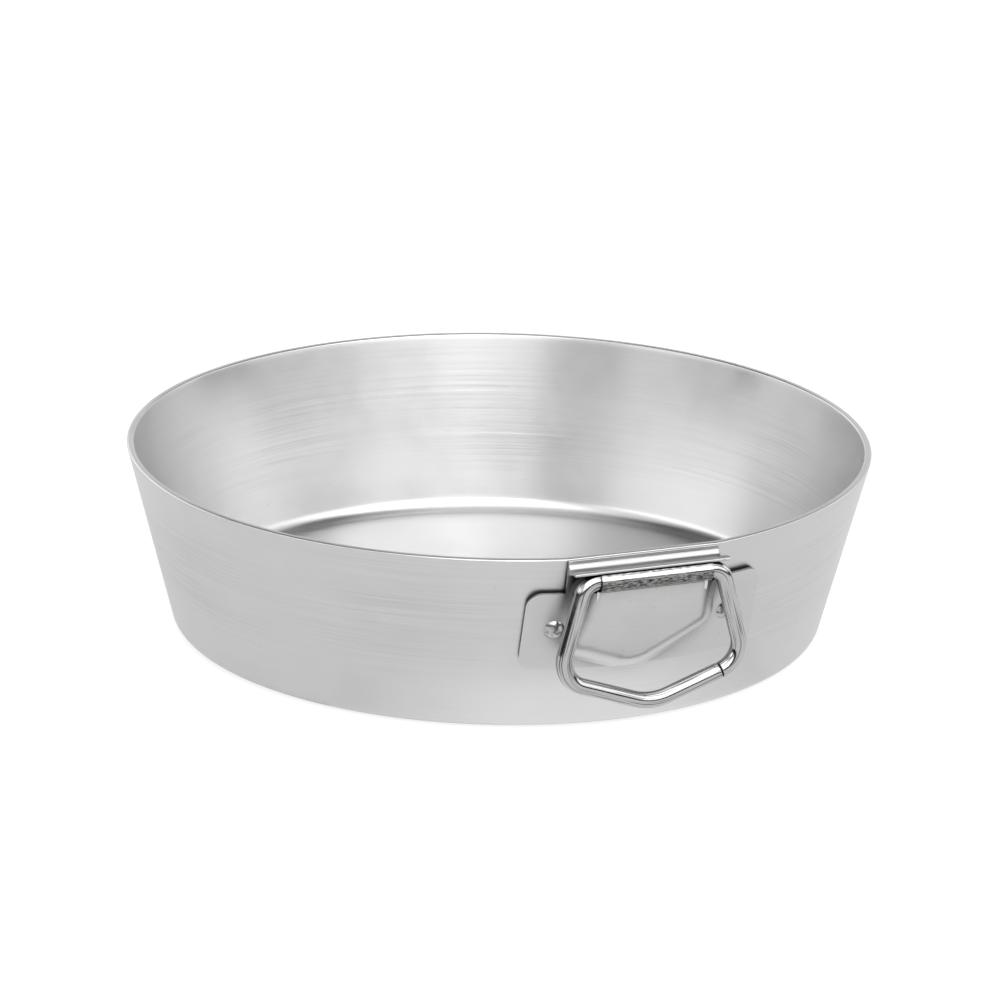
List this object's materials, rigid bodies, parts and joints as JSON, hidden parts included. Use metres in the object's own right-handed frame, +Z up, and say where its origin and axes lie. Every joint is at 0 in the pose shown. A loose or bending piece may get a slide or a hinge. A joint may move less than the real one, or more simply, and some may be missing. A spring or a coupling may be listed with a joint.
{
  "type": "shallow spun aluminium pan with a drop handle",
  "caption": "Shallow round spun-metal pan with tapered walls, a plain rim and a bent-wire drop handle swinging in a riveted stamped bracket.",
  "frame": {"origin": "centre of the underside of the base, on the ground the pan stands on", "axes": "+Z up out of the pan's mouth, -Y towards the handle, +X to the right seen from the handle's side"},
  "size_m": [0.32, 0.3271, 0.08],
  "materials": {
    "pan_aluminium": "spun satin aluminium with fine turning lines round the wall and floor",
    "bracket_aluminium": "stamped satin aluminium sheet, brighter on its drawn edges",
    "sleeve_metal": "scuffed bright metal strip rolled round the wire",
    "rivet_aluminium": "headed aluminium rivet",
    "wire_steel": "bright drawn steel wire, smooth and polished"
  },
  "bodies": {
    "pan": {"pan_body": "pan_aluminium", "hinge_bracket": "bracket_aluminium", "hinge_sleeve": "sleeve_metal", "rivet_left": "rivet_aluminium", "rivet_right": "rivet_aluminium"},
    "handle": {"wire_handle": "wire_steel"}
  },
  "joints": [
    {"name": "handle_swing", "type": "hinge", "parent": "pan", "child": "handle", "pos_m": [0, -0.16249, 0.0713], "axis": [-1, 0, 0], "range_deg": [-15, 90]}
  ]
}
